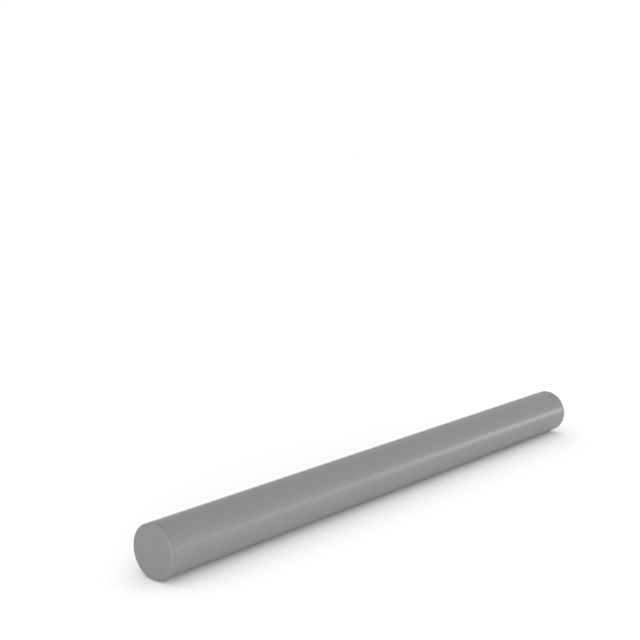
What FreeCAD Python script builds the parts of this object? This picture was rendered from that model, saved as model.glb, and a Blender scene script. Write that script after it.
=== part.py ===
"""Tubular soundbar: a round cloth-fronted barrel closed by two flat end caps, standing on two rubber pads.

X runs along the bar, the front is -Y and +Z is up. The origin is at the middle of the foot plane.
Heights in this file are measured from the barrel's axis, which lies axis_height above the feet.
"""

import FreeCAD
import Part

import math
import operator
import os
from types import SimpleNamespace

import Sketcher

Vector = FreeCAD.Vector
Rotation = FreeCAD.Rotation

DIMENSIONS = {
    # barrel
    "bar_length": 1030,
    "bar_radius": 39,
    "axis_height": 39.6,
    "cloth_thickness": 0.6,
    "cloth_gap": 0.05,
    "frame_wall": 2,
    "shell_wall": 2.5,
    "seam_top": 56,
    "seam_bottom": -109,
    "seam_step": 0.35,
    "frame_end_gap": 0.3,
    "window_half_height": 27,
    "driver_window_half": 28,
    "centre_window_half": 26,
    "slat_pitch": 15,
    "slat_thickness": 1.6,
    "back_face": 36,
    "foot_flat": 37.5,
    # end caps
    "cap_skirt": 5,
    "cap_face": 3,
    "cap_edge": 2.2,
    "cap_gap": 0.3,
    "cap_screw_inset": 6,
    "cap_screw_level": 8,
    "spigot_radius": 35.8,
    "spigot_wall": 2,
    "spigot_length": 9,
    "control_dish_radius": 31,
    "control_dish_depth": 1,
    # controls on the right end cap
    "key_ring": 19,
    "key_radius": 5.3,
    "power_key_radius": 7.3,
    "key_clearance": 0.25,
    "key_flange": 1.3,
    "key_flange_thickness": 0.8,
    "key_proud": 0.7,
    "key_travel": 0.5,
    "key_edge": 0.35,
    "switch_height": 3.1,
    "switch_side": 6,
    "switch_gap": 0.2,
    "control_board_radius": 29.5,
    "post_reach": 18.6,
    "post_radius": 2.5,
    "board_thickness": 1.6,
    # baffle and sealed chambers
    "baffle_front": 16,
    "baffle_wall": 3,
    "baffle_half_height": 31,
    "baffle_end": 495,
    "chamber_wall": 2,
    "chamber_half_height": 27,
    "chamber_back": 12,
    "chamber_inner_end": 66,
    "chamber_outer_end": 440,
    "gasket_thickness": 0.8,
    # drivers
    "inner_driver_place": 122,
    "radiator_place": 250,
    "outer_driver_place": 378,
    "driver_rim": 29,
    "driver_rim_thickness": 3,
    "driver_hole": 25.6,
    "roll_outer": 24.6,
    "roll_inner": 19.4,
    "cone_wall": 0.6,
    "cone_neck": 8.4,
    "coil_radius": 10,
    "motor_radius": 14,
    "driver_screw_ring": 27,
    "spider_depth": 5.6,
    "spider_rise": 0.8,
    "spider_thickness": 0.3,
    # back panel
    "bay_half_length": 62,
    "bay_half_height": 13,
    "bay_floor": 20,
    "bay_wall": 2,
    "panel_thickness": 2,
    "inlet_place": -175,
    "inlet_half_length": 12,
    "inlet_half_height": 7.25,
    "inlet_fit": 0.1,
    "inlet_depth": 13,
    "bracket_hole_place": 250,
    "bracket_hole_radius": 2.1,
    "insert_radius": 3.6,
    "insert_length": 10,
    # fasteners and feet
    "screw_radius": 1.45,
    "screw_head_radius": 2.8,
    "screw_head_height": 1.4,
    "screw_fit": 0.05,
    "screw_clearance": 0.2,
    "small_head_radius": 2.4,
    "small_head_height": 1.4,
    "foot_place": 400,
    "foot_length": 70,
    "foot_width": 18,
    "foot_corner": 5,
    "foot_fit": 0.1,
    "foot_recess": 1,
}

doc = FreeCAD.newDocument("soundbar")
sheet = doc.addObject("Spreadsheet::Sheet", "dims")
for row, (alias, value) in enumerate(DIMENSIONS.items(), start=1):
    sheet.set(f"A{row}", alias)
    sheet.set(f"B{row}", str(value))
    sheet.setAlias(f"B{row}", alias)
doc.recompute()

nodes = []
sides = {"left": -1, "right": 1}


# Helpers that bind sizes to the sheet.


class Size:
    """A length or an angle, held as a number and as the same sum written with the sheet's cells."""

    def __init__(self, value, text):
        self.value = value
        self.text = text

    def __neg__(self):
        return Size(-self.value, f"(-{self.text})")

    def __add__(self, other):
        return joined(self, "+", other)

    def __radd__(self, other):
        return joined(other, "+", self)

    def __sub__(self, other):
        return joined(self, "-", other)

    def __rsub__(self, other):
        return joined(other, "-", self)

    def __mul__(self, other):
        return joined(self, "*", other)

    def __rmul__(self, other):
        return joined(other, "*", self)

    def __truediv__(self, other):
        return joined(self, "/", other)

    def __pow__(self, other):
        return joined(self, "^", other)


def as_size(thing):
    return thing if isinstance(thing, Size) else Size(thing, str(thing))


def joined(left, sign, right):
    """Two sizes, or a size and a plain number, joined by a sign of arithmetic."""
    work = {"+": operator.add, "-": operator.sub, "*": operator.mul, "/": operator.truediv, "^": operator.pow}
    left, right = as_size(left), as_size(right)
    return Size(work[sign](left.value, right.value), f"({left.text} {sign} {right.text})")


def cos(angle):
    return Size(math.cos(math.radians(as_size(angle).value)), f"cos({as_size(angle).text})")


def sin(angle):
    return Size(math.sin(math.radians(as_size(angle).value)), f"sin({as_size(angle).text})")


def sqrt(square):
    return Size(math.sqrt(as_size(square).value), f"sqrt({as_size(square).text})")


dim = SimpleNamespace(**{name: Size(value, "dims." + name) for name, value in DIMENSIONS.items()})


def bind(thing, name, size):
    thing.setExpression(name, as_size(size).text)


def point(across, up):
    """A sketch's point where these two sizes put it at present."""
    return Vector(as_size(across).value, as_size(up).value, 0)


def place(thing, x, y, z):
    """Puts a thing at a point whose height is counted from the barrel's axis."""
    bind(thing, ".Placement.Base.x", x)
    bind(thing, ".Placement.Base.y", y)
    bind(thing, ".Placement.Base.z", dim.axis_height + z)


def block(name, x, y, z):
    """A box between the low and high limits given for each axis."""
    box = doc.addObject("Part::Box", name)
    for side, (low, high) in zip(("Length", "Width", "Height"), (x, y, z)):
        bind(box, side, high - low)
    place(box, x[0], y[0], z[0])
    return box


def rod(name, axis, radius, span, across):
    """A cylinder along an axis over a span, at the two other coordinates in X, Y, Z order."""
    cylinder = doc.addObject("Part::Cylinder", name)
    turns = {"x": Rotation(Vector(0, 1, 0), 90), "y": Rotation(Vector(1, 0, 0), -90), "z": Rotation()}
    cylinder.Placement = FreeCAD.Placement(Vector(), turns[axis])
    bind(cylinder, "Radius", radius)
    bind(cylinder, "Height", span[1] - span[0])
    start = list(across)
    start.insert("xyz".index(axis), span[0])
    place(cylinder, *start)
    return cylinder


def fuse(name, shapes):
    union = doc.addObject("Part::MultiFuse", name)
    union.Shapes = shapes
    return union


def group(name, shapes):
    """Separate solids that share one node."""
    pile = doc.addObject("Part::Compound", name)
    pile.Links = shapes
    return pile


def cut(name, base, tools):
    difference = doc.addObject("Part::Cut", name)
    difference.Base = base
    difference.Tool = tools[0] if len(tools) == 1 else fuse(name + "_tools", tools)
    return difference


def ring(name, axis, outer, inner, span, across):
    start, end = span
    hole = rod(name + "_hole", axis, inner, (start - 1, end + 1), across)
    return cut(name, rod(name + "_disc", axis, outer, span, across), [hole])


def eased(kind, name, base, size, chosen):
    """Rounds or bevels those edges of a base that a test chooses. kind is Part::Fillet or Part::Chamfer."""
    doc.recompute()
    made = doc.addObject(kind, name)
    made.Base = base
    wide = as_size(size).value
    made.Edges = [(index, wide, wide) for index, edge in enumerate(base.Shape.Edges, start=1) if chosen(edge)]
    return made


def node(thing, label):
    """Marks a finished sub-part: its label names its file."""
    thing.Label = label
    nodes.append(thing)
    return thing


def plane(body, role):
    return next(f for f in body.Origin.OriginFeatures if f.Role == role)


def outline(body, role, points, name="profile"):
    """A closed sketch on one of the body's planes. Each point is (across, up) or (across, up, centre), where the
    centre is that of the arc that leads from this point to the next. The last span has to be straight."""
    sketch = body.newObject("Sketcher::SketchObject", name)
    sketch.AttachmentSupport = [(plane(body, role), "")]
    sketch.MapMode = "FlatFace"
    guesses = [point(*corner[:2]) for corner in points]
    ends = []
    for index, corner in enumerate(points):
        start, end = guesses[index], guesses[(index + 1) % len(points)]
        if len(corner) == 2:
            sketch.addGeometry(Part.LineSegment(start, end))
            ends.append((1, 2))
            continue
        centre = point(*corner[2])
        circle = Part.Circle(centre, Vector(0, 0, 1), (start - centre).Length)
        first, last = circle.parameter(start), circle.parameter(end)
        anticlockwise = (last - first) % (2 * math.pi) < math.pi
        if not anticlockwise:
            first, last = last, first
        sketch.addGeometry(Part.ArcOfCircle(circle, first, last if last > first else last + 2 * math.pi))
        ends.append((1, 2) if anticlockwise else (2, 1))

    def pin(kind, index, which, size):
        guess = as_size(size).value
        made = sketch.addConstraint(Sketcher.Constraint(kind, -1, 1, index, which, guess))
        bind(sketch, f"Constraints[{made}]", size)

    for index, corner in enumerate(points):
        earlier = (index - 1) % len(points)
        start = ends[index][0]
        sketch.addConstraint(Sketcher.Constraint("Coincident", earlier, ends[earlier][1], index, start))
        if len(corner) == 3:
            pin("DistanceX", index, 3, corner[2][0])
            pin("DistanceY", index, 3, corner[2][1])
        before = points[earlier]
        away = guesses[index] - point(*before[2]) if len(before) == 3 else None
        if away is None or abs(away.y) > abs(away.x):
            pin("DistanceX", index, start, corner[0])
        if away is None or abs(away.y) <= abs(away.x):
            pin("DistanceY", index, start, corner[1])
    return sketch


def extrusion(name, points, length):
    """A body with a closed YZ profile, padded along X to both sides."""
    body = doc.addObject("PartDesign::Body", name)
    pad = body.newObject("PartDesign::Pad", name + "_pad")
    pad.Profile = outline(body, "YZ_Plane", points, name + "_profile")
    pad.Midplane = True
    bind(pad, "Length", length)
    place(body, 0, 0, 0)
    return body


def turned(name, points, x=0, along="y"):
    """A body turned about a line along Y at x, or about the barrel's own axis X. Points are (radius, place)
    for a Y line and (place, radius) for the barrel's axis."""
    body = doc.addObject("PartDesign::Body", name)
    sketch = outline(body, "XY_Plane", points, name + "_profile")
    turn = body.newObject("PartDesign::Revolution", name + "_turn")
    turn.Profile = sketch
    turn.ReferenceAxis = (sketch, ["V_Axis" if along == "y" else "H_Axis"])
    turn.Angle = 360
    place(body, x, 0, 0)
    return body


def on_circle(radius, angle):
    """A point of the barrel's cross-section. Angle 0 faces the wall behind and 90 faces up."""
    return radius * cos(angle), radius * sin(angle)


# Barrel: cloth, grille frame and rear shell.

barrel_half = dim.bar_length / 2 - dim.cap_skirt - dim.cap_gap


def arc_band(outer, inner, first, last):
    """The profile of a band of the barrel that runs over the front from angle first to angle last. It is made of
    two arcs a side, since the band goes more than half way round."""
    middle = (first + last) / 2
    axis = (0, 0)
    return [
        (*on_circle(outer, first), axis),
        (*on_circle(outer, middle), axis),
        on_circle(outer, last),
        (*on_circle(inner, last), axis),
        (*on_circle(inner, middle), axis),
        on_circle(inner, first),
    ]


def grille_cloth():
    band = arc_band(dim.bar_radius, dim.bar_radius - dim.cloth_thickness, *front_angles())
    return node(extrusion("cloth", band, 2 * barrel_half), "grille_cloth")


def front_angles():
    """Where the cloth and its frame start and end, a small step clear of the rear shell's edges."""
    return dim.seam_top + dim.seam_step, 360 + dim.seam_bottom - dim.seam_step


def grille_frame():
    """The moulded grille under the cloth, open in windows that slats cross."""
    outer = dim.bar_radius - dim.cloth_thickness - dim.cloth_gap
    inner = outer - dim.frame_wall
    length = 2 * (barrel_half - dim.frame_end_gap)
    skin = extrusion("frame_skin", arc_band(outer, inner, *front_angles()), length)
    height = (-dim.window_half_height, dim.window_half_height)
    windows, louvres = [], []
    for index, (x, half) in enumerate(window_places()):
        windows.append(block(f"window_{index}", (x - half, x + half), (-50, -22), height))
        for step in (-1, 0, 1):
            level = step * dim.slat_pitch
            slat = block(
                f"slat_{index}_{step}",
                (x - half - 1, x + half + 1),
                (-dim.bar_radius, -30),
                (level - dim.slat_thickness / 2, level + dim.slat_thickness / 2),
            )
            louvres.append(slat)
    opened = cut("frame_opened", skin, windows)
    slats = doc.addObject("Part::MultiCommon", "slats")
    slats.Shapes = [extrusion("slat_band", arc_band(outer, inner, 130, 230), length), fuse("slat_blocks", louvres)]
    return node(fuse("frame", [opened, slats]), "grille_frame")


def window_places():
    """Where the frame is open in front of the drivers and of the indicators: (middle, half length)."""
    found = [(0, dim.centre_window_half)]
    for where in (dim.inner_driver_place, dim.radiator_place, dim.outer_driver_place):
        found += [(-where, dim.driver_window_half), (where, dim.driver_window_half)]
    return found


def rear_shell():
    """The moulded rear half: an arc of the barrel with a flat back and a flat underside, stiffened by the bay
    of the connectors, with posts for the boards and holes for screws, bracket inserts and the mains inlet."""
    axis = (0, 0)
    radius, inner = dim.bar_radius, dim.bar_radius - dim.shell_wall
    back, back_in = dim.back_face, dim.back_face - dim.shell_wall
    flat, flat_in = dim.foot_flat, dim.foot_flat - dim.shell_wall

    def at_back(r, y, sign):
        return y, sign * sqrt(r**2 - y**2)

    def at_flat(r, z, sign):
        return sign * sqrt(r**2 - z**2), -z

    points = [
        (*on_circle(radius, dim.seam_top), axis),
        at_back(radius, back, 1),
        (*at_back(radius, back, -1), axis),
        at_flat(radius, flat, 1),
        (*at_flat(radius, flat, -1), axis),
        on_circle(radius, dim.seam_bottom),
        (*on_circle(inner, dim.seam_bottom), axis),
        at_flat(inner, flat_in, -1),
        (*at_flat(inner, flat_in, 1), axis),
        at_back(inner, back_in, -1),
        (*at_back(inner, back_in, 1), axis),
        on_circle(inner, dim.seam_top),
    ]
    skin = extrusion("shell_skin", points, 2 * barrel_half)
    bay = block(
        "bay_box",
        (-dim.bay_half_length - dim.bay_wall, dim.bay_half_length + dim.bay_wall),
        (dim.bay_floor - dim.panel_thickness, dim.back_face - 0.5),
        (-dim.bay_half_height - dim.bay_wall, dim.bay_half_height + dim.bay_wall),
    )
    posts = [bay]
    for index, where in enumerate(power_screw_places()):
        posts.append(rod(f"board_post_{index}", "y", 2.6, (15.2, 33.6), where))
    for side, sign in sides.items():
        where = sign * dim.bracket_hole_place
        span = (dim.back_face - dim.insert_length - 1.5, dim.back_face - 0.5)
        posts.append(rod(side + "_insert_boss", "y", dim.insert_radius + 2.4, span, (where, 0)))
    solid = fuse("shell_solid", [skin, *posts])

    inlet_reach = dim.inlet_half_length + dim.inlet_fit
    openings = [
        block(
            "bay_hollow",
            (-dim.bay_half_length, dim.bay_half_length),
            (dim.bay_floor, dim.back_face + 1),
            (-dim.bay_half_height, dim.bay_half_height),
        ),
        block(
            "panel_seat",
            (-dim.bay_half_length - 0.6, dim.bay_half_length + 0.6),
            (dim.bay_floor - dim.panel_thickness - 1, dim.bay_floor),
            (-dim.bay_half_height - 0.6, dim.bay_half_height + 0.6),
        ),
        block(
            "inlet_window",
            (dim.inlet_place - inlet_reach, dim.inlet_place + inlet_reach),
            (dim.back_face - 6, dim.back_face + 1),
            (-dim.inlet_half_height - dim.inlet_fit, dim.inlet_half_height + dim.inlet_fit),
        ),
    ]
    for index, where in enumerate(power_screw_places()):
        openings.append(rod(f"board_post_hole_{index}", "y", dim.screw_radius + dim.screw_fit, (14, 22), where))
    for index, x in enumerate(rear_screw_places()):
        openings += screw_hole(f"rear_hole_{index}", x, 0)
    for index, (x, z) in enumerate(cap_screw_places()):
        openings += screw_hole(f"cap_hole_{index}", x, z)
    for side, sign in sides.items():
        where = sign * dim.bracket_hole_place
        span = (dim.back_face - dim.insert_length, dim.back_face + 1)
        openings.append(rod(side + "_insert_seat", "y", dim.insert_radius, span, (where, 0)))
        levels = (-dim.foot_flat - 1, -dim.foot_flat + dim.foot_recess)
        openings.append(foot_form(side + "_foot_recess", sign * dim.foot_place, 0, levels))
    return node(cut("shell", solid, openings), "rear_shell")


def rear_screw_places():
    return [-360, -95, 95, 360]


def cap_screw_places():
    edge = dim.bar_length / 2 - dim.cap_skirt - dim.cap_screw_inset
    return [(sign * edge, level) for sign in (-1, 1) for level in (-dim.cap_screw_level, dim.cap_screw_level)]


def screw_hole(name, x, z):
    """A clearance hole with a seat for the head, drilled forwards from the back face."""
    start, seat, end = dim.back_face - dim.shell_wall - 1, dim.back_face - dim.screw_head_height, dim.back_face + 1
    shank = rod(name, "y", dim.screw_radius + dim.screw_clearance, (start, end), (x, z))
    head = rod(name + "_seat", "y", dim.screw_head_radius + 0.3, (seat, end), (x, z))
    return [shank, head]


def screw(name, x, z, length):
    """A pan-head screw pushed in from behind, with its head's face just inside the back face and a cross recess."""
    shank = rod(name + "_shank", "y", dim.screw_radius, (dim.back_face - length, dim.back_face - 1), (x, z))
    span = (dim.back_face - dim.screw_head_height, dim.back_face - 0.1)
    head = rod(name + "_head", "y", dim.screw_head_radius, span, (x, z))
    drive = [
        block(
            name + "_drive_" + way,
            (x - a, x + a),
            (dim.back_face - 0.9, dim.back_face),
            (z - b, z + b),
        )
        for way, a, b in (("across", 1.5, 0.3), ("upright", 0.3, 1.5))
    ]
    return cut(name, fuse(name + "_blank", [shank, head]), drive)


def case_screws():
    """The screws that hold the chambers and both end caps to the rear shell."""
    made = [screw(f"rear_screw_{n}", x, 0, 16) for n, x in enumerate(rear_screw_places())]
    made += [screw(f"cap_screw_{n}", x, z, 9) for n, (x, z) in enumerate(cap_screw_places())]
    return node(group("case_screw_set", made), "case_screws")


def bracket_inserts():
    """Two brass inserts with a 5 mm thread, in line with the back face, for a bracket's arms."""
    made = []
    for side, sign in sides.items():
        where = sign * dim.bracket_hole_place
        sleeve = ring(
            side + "_insert_sleeve",
            "y",
            dim.insert_radius - 0.02,
            dim.bracket_hole_radius,
            (dim.back_face - dim.insert_length, dim.back_face),
            (where, 0),
        )
        groove = ring(
            side + "_insert_groove",
            "y",
            dim.insert_radius + 1,
            dim.insert_radius - 0.5,
            (dim.back_face - 5.6, dim.back_face - 4.4),
            (where, 0),
        )
        made.append(cut(side + "_threaded_insert", sleeve, [groove]))
    return node(group("insert_set", made), "bracket_inserts")


def foot_form(name, where, gap, levels):
    """The outline of a foot pad between two levels, its upright corners rounded, smaller all round by a gap."""
    half, across = dim.foot_length / 2 - gap, dim.foot_width / 2 - gap
    form = block(name + "_form", (where - half, where + half), (-across, across), levels)
    return eased("Part::Fillet", name, form, dim.foot_corner, upright)


def upright(edge):
    return edge.BoundBox.ZLength > 0.1 and edge.BoundBox.XLength + edge.BoundBox.YLength < 1e-6


def rubber_feet():
    """Two pads with rounded corners let into the flat underside."""
    levels = (-dim.axis_height, -dim.foot_flat + dim.foot_recess - 0.05)
    pads = [foot_form(side + "_foot", sign * dim.foot_place, dim.foot_fit, levels) for side, sign in sides.items()]
    return node(group("foot_set", pads), "rubber_feet")


# End caps and controls.


def cap_blank(name, mirrored):
    """A flat disc with a rounded rim and a spigot that goes inside the barrel. Its outer face is at +X, and the
    left cap is the same blank turned round."""
    outside, inside = dim.bar_length / 2, dim.bar_length / 2 - dim.cap_face
    shoulder = dim.bar_length / 2 - dim.cap_skirt
    points = [
        (outside, 0),
        (outside, dim.bar_radius - dim.cap_edge, (dim.bar_length / 2 - dim.cap_edge, dim.bar_radius - dim.cap_edge)),
        (dim.bar_length / 2 - dim.cap_edge, dim.bar_radius),
        (shoulder, dim.bar_radius),
        (shoulder, dim.spigot_radius),
        (shoulder - dim.spigot_length, dim.spigot_radius),
        (shoulder - dim.spigot_length, dim.spigot_radius - dim.spigot_wall),
        (inside, dim.spigot_radius - dim.spigot_wall),
        (inside, 0),
    ]
    body = turned(name, points, along="x")
    if mirrored:
        body.Placement = FreeCAD.Placement(Vector(), Rotation(Vector(0, 0, 1), 180))
        place(body, 0, 0, 0)

    def along_bar(start, end):
        """Limits along X counted outwards from the middle, in rising order."""
        return (-end, -start) if mirrored else (start, end)

    start = shoulder - dim.spigot_length - 1
    behind, below = dim.back_face - dim.shell_wall - 0.3, -dim.foot_flat + dim.shell_wall + 0.3
    trims = [
        block(name + "_back_trim", along_bar(start, shoulder), (behind, 60), (-60, 60)),
        block(name + "_under_trim", along_bar(start, shoulder), (-60, 60), (-60, below)),
    ]
    boss = block(name + "_boss", along_bar(shoulder - 10, inside + 0.5), (26.6, behind), (-12, 12))
    own = [where for where in cap_screw_places() if (where[0].value < 0) == mirrored]
    pilots = [
        rod(f"{name}_pilot_{index}", "y", dim.screw_radius + dim.screw_fit, (20, dim.back_face), where)
        for index, where in enumerate(own)
    ]
    blank = fuse(name + "_solid", [cut(name + "_trimmed", body, trims), boss])
    return cut(name + "_drilled", blank, pilots)


def left_end_cap():
    return node(cap_blank("left_cap", True), "left_end_cap")


def keys():
    """Name, place across the cap and radius of each key: (name, y, z, radius)."""
    ring_keys = (("volume_up_key", 0, dim.key_ring), ("volume_down_key", 0, -dim.key_ring))
    side_keys = (("source_key", -dim.key_ring, 0), ("play_key", dim.key_ring, 0))
    small = [(name, y, z, dim.key_radius) for name, y, z in ring_keys + side_keys]
    return [("power_key", 0, 0, dim.power_key_radius), *small]


def post_places():
    """Where the right cap holds the control board: half way between the ring's keys."""
    return [(a * dim.post_reach, b * dim.post_reach) for a in (-1, 1) for b in (-1, 1)]


def board_front():
    """The face of the control board that carries the switches."""
    return dim.bar_length / 2 - 2 * dim.cap_face - dim.switch_height - dim.switch_gap


def right_end_cap():
    """The cap with a shallow dish and round windows for the keys, and posts behind them for the control board."""
    blank = cap_blank("right_cap", False)
    outside, inside = dim.bar_length / 2, dim.bar_length / 2 - dim.cap_face
    dish = (outside - dim.control_dish_depth, outside + 1)
    tools = [rod("control_dish", "x", dim.control_dish_radius, dish, (0, 0))]
    for name, y, z, radius in keys():
        tools.append(rod(name + "_window", "x", radius + dim.key_clearance, (inside - 1, outside + 1), (y, z)))
    posts = [
        rod(f"control_post_{n}", "x", dim.post_radius, (board_front(), inside + 0.5), spot)
        for n, spot in enumerate(post_places())
    ]
    opened = cut("right_cap_opened", blank, tools)
    drilled = [
        rod(f"control_post_hole_{n}", "x", dim.screw_radius + dim.screw_fit, (board_front() - 1, inside), spot)
        for n, spot in enumerate(post_places())
    ]
    return node(cut("right_cap_finished", fuse("right_cap_posts", [opened, *posts]), drilled), "right_end_cap")


def control_key(name, y, z, radius):
    """A round key: a crowned top that stands in its window, a flange behind the wall and a stem to its switch."""
    inside = dim.bar_length / 2 - dim.cap_face
    face = dim.bar_length / 2 - dim.control_dish_depth + dim.key_proud
    top = rod(name + "_top", "x", radius, (inside - 0.5, face), (y, z))

    def outer_rim(edge):
        return edge.BoundBox.XLength < 1e-6 and abs(edge.BoundBox.XMax - face.value) < 1e-6

    rim = eased("Part::Fillet", name + "_rounded", top, dim.key_edge, outer_rim)
    behind = inside - 0.1
    flange = rod(name + "_flange", "x", radius + dim.key_flange, (behind - dim.key_flange_thickness, behind), (y, z))
    stem_end = inside - dim.cap_face - dim.switch_gap + dim.key_travel + 0.1
    stem = rod(name + "_stem", "x", 1.6, (stem_end, inside - 0.5), (y, z))
    return node(fuse(name + "_solid", [rim, flange, stem]), name)


def control_board():
    front = board_front()
    board = rod("control_board_disc", "x", dim.control_board_radius, (front - dim.board_thickness, front), (0, 0))
    holes = [
        rod(f"control_board_hole_{n}", "x", dim.screw_radius + dim.screw_clearance, (front - 3, front + 1), spot)
        for n, spot in enumerate(post_places())
    ]
    notch = block("control_board_notch", (front - 3, front + 1), (26.3, 31), (-12.4, 12.4))
    return node(cut("control_board_drilled", board, [*holes, notch]), "control_board")


def tact_switches():
    front, half = board_front(), dim.switch_side / 2
    made = [
        block(name + "_switch", (front, front + dim.switch_height), (y - half, y + half), (z - half, z + half))
        for name, y, z, _ in keys()
    ]
    return node(group("switch_set", made), "tact_switches")


# Baffle, chambers and drivers.

woofers = {
    "left_outer": -dim.outer_driver_place,
    "left_inner": -dim.inner_driver_place,
    "right_inner": dim.inner_driver_place,
    "right_outer": dim.outer_driver_place,
}
radiators = {"left": -dim.radiator_place, "right": dim.radiator_place}


def front_baffle():
    """A long plate that carries the drivers in round openings, with a stiffening lip along its top and bottom."""
    plate = block(
        "baffle_plate",
        (-dim.baffle_end, dim.baffle_end),
        (-dim.baffle_front, -dim.baffle_front + dim.baffle_wall),
        (-dim.baffle_half_height, dim.baffle_half_height),
    )
    lips = [
        block(
            f"baffle_lip_{n}",
            (-dim.baffle_end, dim.baffle_end),
            (-dim.baffle_front, -dim.baffle_front + 7),
            limits,
        )
        for n, limits in enumerate(((-dim.baffle_half_height, -29), (29, dim.baffle_half_height)))
    ]
    tools = []
    for name, x in [*woofers.items(), *radiators.items()]:
        tools.append(rod(f"{name}_opening", "y", dim.driver_hole, (-20, -5), (x, 0)))
        for n, (dx, dz) in enumerate(driver_screw_places()):
            span = (-dim.baffle_front - 1, -dim.baffle_front + dim.baffle_wall + 1)
            tools.append(rod(f"{name}_pilot_{n}", "y", dim.screw_radius + dim.screw_fit, span, (x + dx, dz)))
    return node(cut("baffle", fuse("baffle_solid", [plate, *lips]), tools), "front_baffle")


def driver_screw_places():
    reach = dim.driver_screw_ring * cos(45)
    return [(a * reach, b * reach) for a in (-1, 1) for b in (-1, 1)]


def chamber(side, sign):
    """A sealed box behind the baffle, open towards it, with two bosses for the rear screws and a hole for leads."""
    inner, outer = dim.chamber_inner_end, dim.chamber_outer_end

    def span(start, end):
        return (start, end) if sign > 0 else (-end, -start)

    front = -dim.baffle_front + dim.baffle_wall + dim.gasket_thickness
    height = (-dim.chamber_half_height, dim.chamber_half_height)
    outside = block(side + "_box", span(inner, outer), (front, dim.chamber_back), height)
    hollow = block(
        side + "_hollow",
        span(inner + dim.chamber_wall, outer - dim.chamber_wall),
        (front - 1, dim.chamber_back - dim.chamber_wall),
        (-dim.chamber_half_height + dim.chamber_wall, dim.chamber_half_height - dim.chamber_wall),
    )
    lead_hole = rod(side + "_lead_hole", "x", 2.6, span(inner - 1, inner + 4), (4.4, -7.1))
    shell = cut(side + "_shell", outside, [hollow, lead_hole])
    bosses, pilots = [], []
    for x in rear_screw_places():
        if x * sign > 0:
            length = (dim.chamber_back - 1, dim.back_face - dim.shell_wall - 0.3)
            bosses.append(rod(f"{side}_boss_{len(bosses)}", "y", 4, length, (x, 0)))
            pilots.append(rod(f"{side}_pilot_{len(pilots)}", "y", dim.screw_radius + dim.screw_fit, (17, 40), (x, 0)))
    solid = fuse(side + "_chamber_solid", [shell, *bosses])
    return node(cut(side + "_chamber_drilled", solid, pilots), side + "_chamber")


def chamber_gaskets():
    """Foam frames squeezed between the baffle and the chambers' rims."""
    made = []
    inner, outer = dim.chamber_inner_end, dim.chamber_outer_end
    back = -dim.baffle_front + dim.baffle_wall
    for side, sign in sides.items():
        limits = (inner, outer) if sign > 0 else (-outer, -inner)
        front = (back, back + dim.gasket_thickness)
        outside = block(side + "_gasket_sheet", limits, front, (-dim.chamber_half_height, dim.chamber_half_height))
        hole = block(
            side + "_gasket_hole",
            (limits[0] + dim.chamber_wall, limits[1] - dim.chamber_wall),
            (-20, 0),
            (-dim.chamber_half_height + dim.chamber_wall, dim.chamber_half_height - dim.chamber_wall),
        )
        made.append(cut(side + "_gasket", outside, [hole]))
    return node(group("gasket_set", made), "chamber_gaskets")


def rim_holes(name, x):
    """Clearance holes for the four screws round a driver or a radiator."""
    radius = dim.screw_radius + dim.screw_clearance
    return [
        rod(f"{name}_rim_hole_{n}", "y", radius, (-25, -10), (x + dx, dz))
        for n, (dx, dz) in enumerate(driver_screw_places())
    ]


def basket(name, x):
    """The driver's frame: a rim on the baffle, a tapered wall with vents and a seat round the motor."""
    front = -dim.baffle_front - dim.driver_rim_thickness
    points = [
        (dim.driver_rim, front),
        (dim.driver_rim, -dim.baffle_front),
        (dim.driver_hole - 0.5, -dim.baffle_front),
        (dim.motor_radius + 4, -5),
        (dim.motor_radius + 2, -0.5),
        (dim.motor_radius + 0.05, -0.5),
        (dim.motor_radius + 0.05, -2.6),
        (dim.motor_radius + 2.2, -6.8),
        (dim.driver_hole - 2.2, -dim.baffle_front + 0.4),
        (dim.roll_outer + 0.1, -dim.baffle_front - 1),
        (dim.roll_outer + 0.1, front),
    ]
    body = turned(name + "_basket_body", points, x)
    tools = rim_holes(name, x)
    for way, wide, tall in (("across", 40, 7), ("upright", 7, 40)):
        tools.append(block(f"{name}_vent_{way}", (x - wide, x + wide), (-13, -7), (-tall, tall)))
    return node(cut(name + "_basket", body, tools), name + "_driver_basket")


def motor(name, x):
    """A cup-shaped steel yoke round a magnet and its top plate, which leave a ring gap for the coil."""
    cup = [
        (0, 8),
        (dim.motor_radius, 8),
        (dim.motor_radius, -2),
        (dim.motor_radius - 2.6, -2),
        (dim.motor_radius - 2.6, 5.5),
        (0, 5.5),
    ]
    yoke = turned(name + "_yoke", cup, x)
    magnet = rod(name + "_magnet", "y", dim.coil_radius - 1.6, (0.5, 5.5), (x, 0))
    top = rod(name + "_top_plate", "y", dim.coil_radius - 0.8, (-2, 0.5), (x, 0))
    return node(group(name + "_motor_parts", [yoke, magnet, top]), name + "_driver_motor")


def cone(name, x):
    """The moving part: a paper cone with a domed dust cap, and the coil wound on its former."""
    edge, neck, back = -dim.baffle_front - 2.2, dim.coil_radius + 0.2, -dim.cone_neck
    points = [
        (neck, back),
        (dim.roll_inner, edge),
        (dim.roll_inner, edge - dim.cone_wall),
        (neck, back - dim.cone_wall - 0.8),
        (dim.coil_radius - 0.6, back - dim.cone_wall - 1.2, (0, 2)),
        (0, -13.4),
        (0, -13, (0, 2)),
        (dim.coil_radius - 0.6, -9.7),
        (dim.coil_radius - 0.6, back),
    ]
    diaphragm = turned(name + "_cone_body", points, x)
    former = ring(name + "_former", "y", dim.coil_radius, dim.coil_radius - 0.3, (back, 1), (x, 0))
    coil = ring(name + "_coil", "y", dim.coil_radius + 0.7, dim.coil_radius, (-2.5, 1), (x, 0))
    return node(group(name + "_cone_parts", [diaphragm, former, coil]), name + "_driver_cone")


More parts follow.
